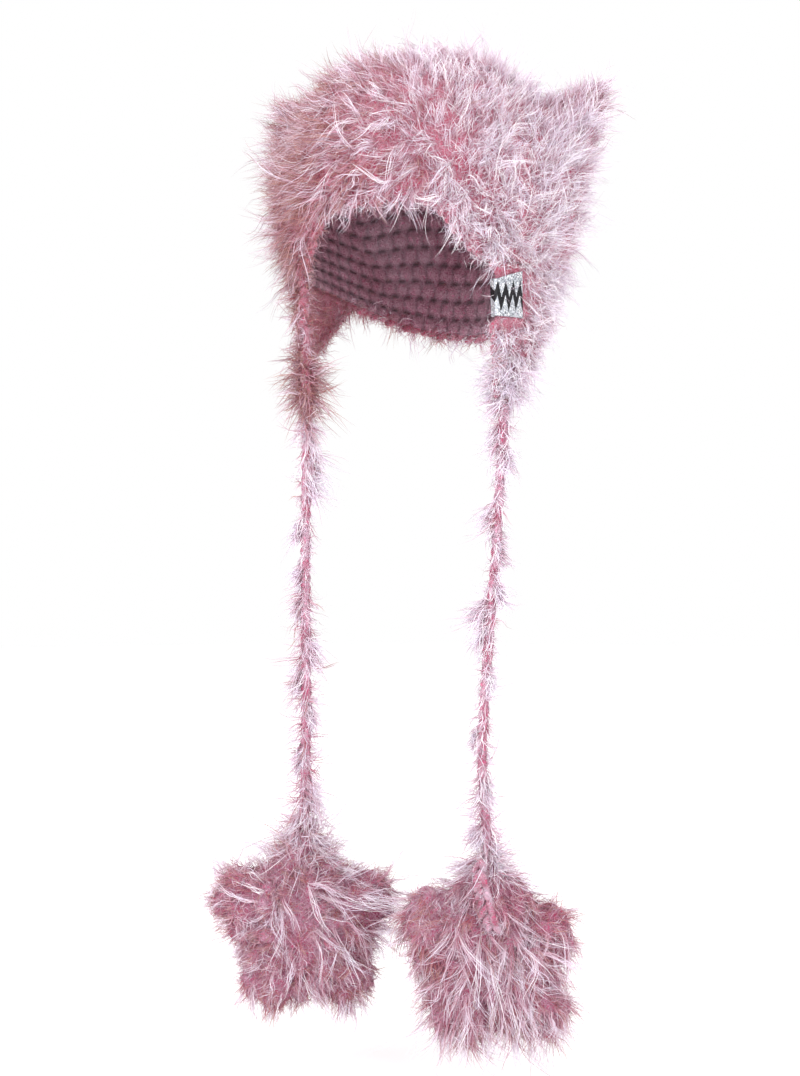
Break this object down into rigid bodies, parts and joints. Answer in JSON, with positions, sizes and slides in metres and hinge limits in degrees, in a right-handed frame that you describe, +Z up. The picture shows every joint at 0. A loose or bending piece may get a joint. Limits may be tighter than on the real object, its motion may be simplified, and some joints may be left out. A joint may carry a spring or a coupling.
{
  "type": "cat ear hat",
  "caption": "Fluffy knitted bonnet with two cat ears, earflaps and long crocheted ties that end in stuffed stars.",
  "frame": {"origin": "inside top of the crown, where the top of the head sits", "axes": "+Z up along the head, +X towards the wearer's left ear, -Y the way the face looks"},
  "size_m": [0.2374, 0.2183, 0.6177],
  "materials": {
    "knit": "knitted rose yarn, matt",
    "fur": "long-haired lilac pink yarn, soft sheen",
    "tie": "crocheted hot pink yarn with lilac hairs",
    "label": "silver glitter ribbon with a black zigzag"
  },
  "bodies": {
    "root": {"crown": "knit", "crown_fur": "fur", "earflap_left": "fur", "earflap_right": "fur", "label": "label", "tie_left": "tie", "star_left": "fur", "tie_right": "tie", "star_right": "fur"}
  },
  "joints": []
}
